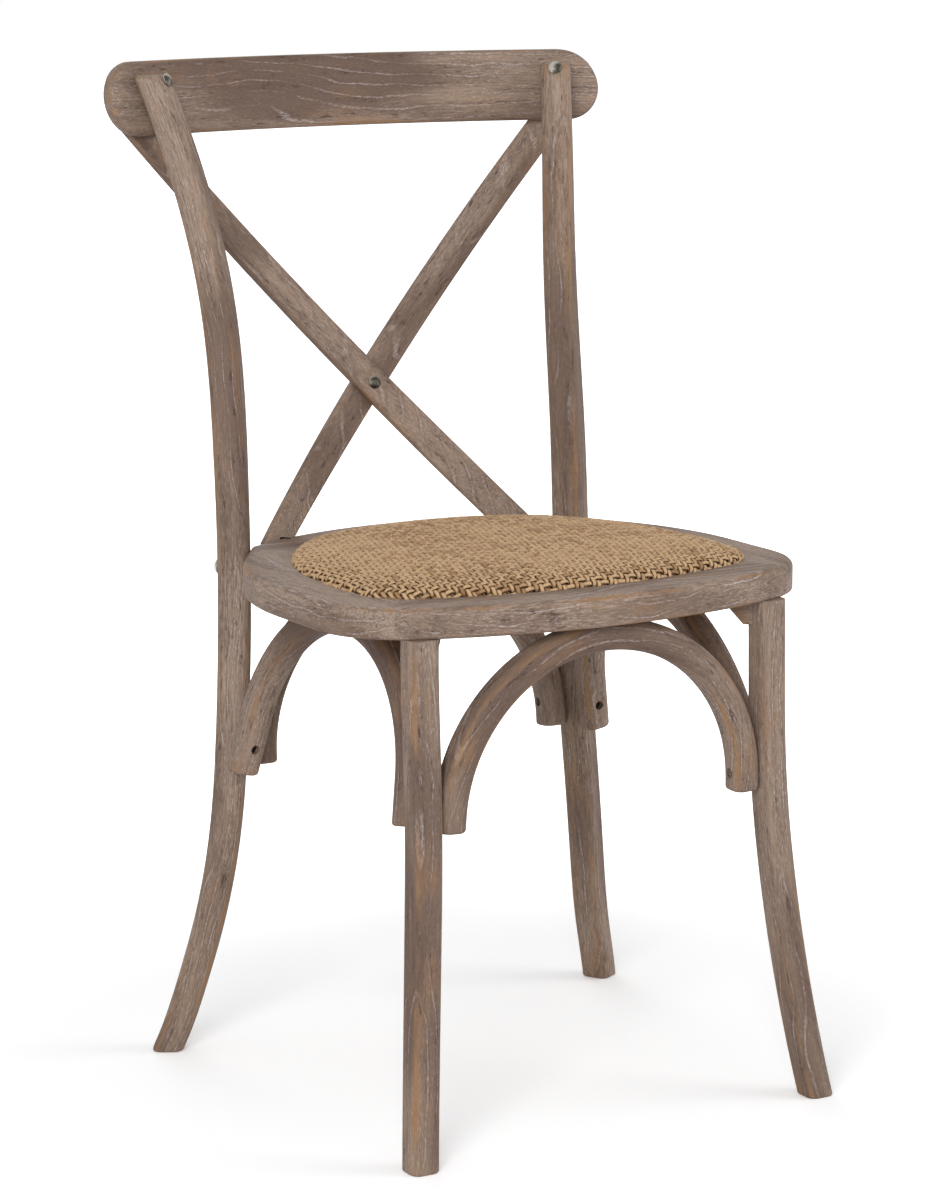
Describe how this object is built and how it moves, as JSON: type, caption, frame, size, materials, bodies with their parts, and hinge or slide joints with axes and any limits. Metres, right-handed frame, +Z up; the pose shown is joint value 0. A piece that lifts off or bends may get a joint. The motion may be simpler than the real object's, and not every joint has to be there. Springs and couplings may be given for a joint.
{
  "type": "cross back dining chair",
  "caption": "Wooden bistro dining chair with flared legs, bent arch braces under the seat, a crossed slat back and a woven rattan seat in a jointed wooden ring",
  "frame": {"origin": "on the floor, under the middle of the chair's outer box", "axes": "+Z up; +Y from the front of the seat to the back rest; +X from left to right as seen from the front"},
  "size_m": [0.502, 0.5238, 0.877],
  "materials": {
    "wood": "weathered grey brown with lime in the grain and rubbed golden edges",
    "board": "raw plywood",
    "dowel": "raw beech",
    "rattan": "natural woven rattan peel",
    "bolt": "dark bronzed steel",
    "insert": "plain brass",
    "screw": "black phosphated steel"
  },
  "bodies": {
    "root": {"front_leg_left": "wood", "front_leg_right": "wood", "rear_post_left": "wood", "rear_post_right": "wood", "crest_rail": "wood", "cross_slat_front": "wood", "cross_slat_back": "wood", "ring_front": "wood", "ring_left": "wood", "ring_right": "wood", "ring_rear": "wood", "arch_front": "wood", "arch_rear": "wood", "arch_left": "wood", "arch_right": "wood", "corner_gusset_front_left": "wood", "corner_gusset_front_right": "wood", "corner_gusset_rear_left": "wood", "corner_gusset_rear_right": "wood", "seat_board": "board", "rattan_seat": "rattan", "ring_dowels": "dowel", "crest_bolts": "bolt", "crest_inserts": "insert", "seat_bolts": "bolt", "seat_inserts": "insert", "cross_bolt": "bolt", "cross_nut": "bolt", "slat_screws": "screw", "arch_end_screws": "screw", "arch_crown_screws": "screw", "gusset_screws": "screw"}
  },
  "joints": []
}
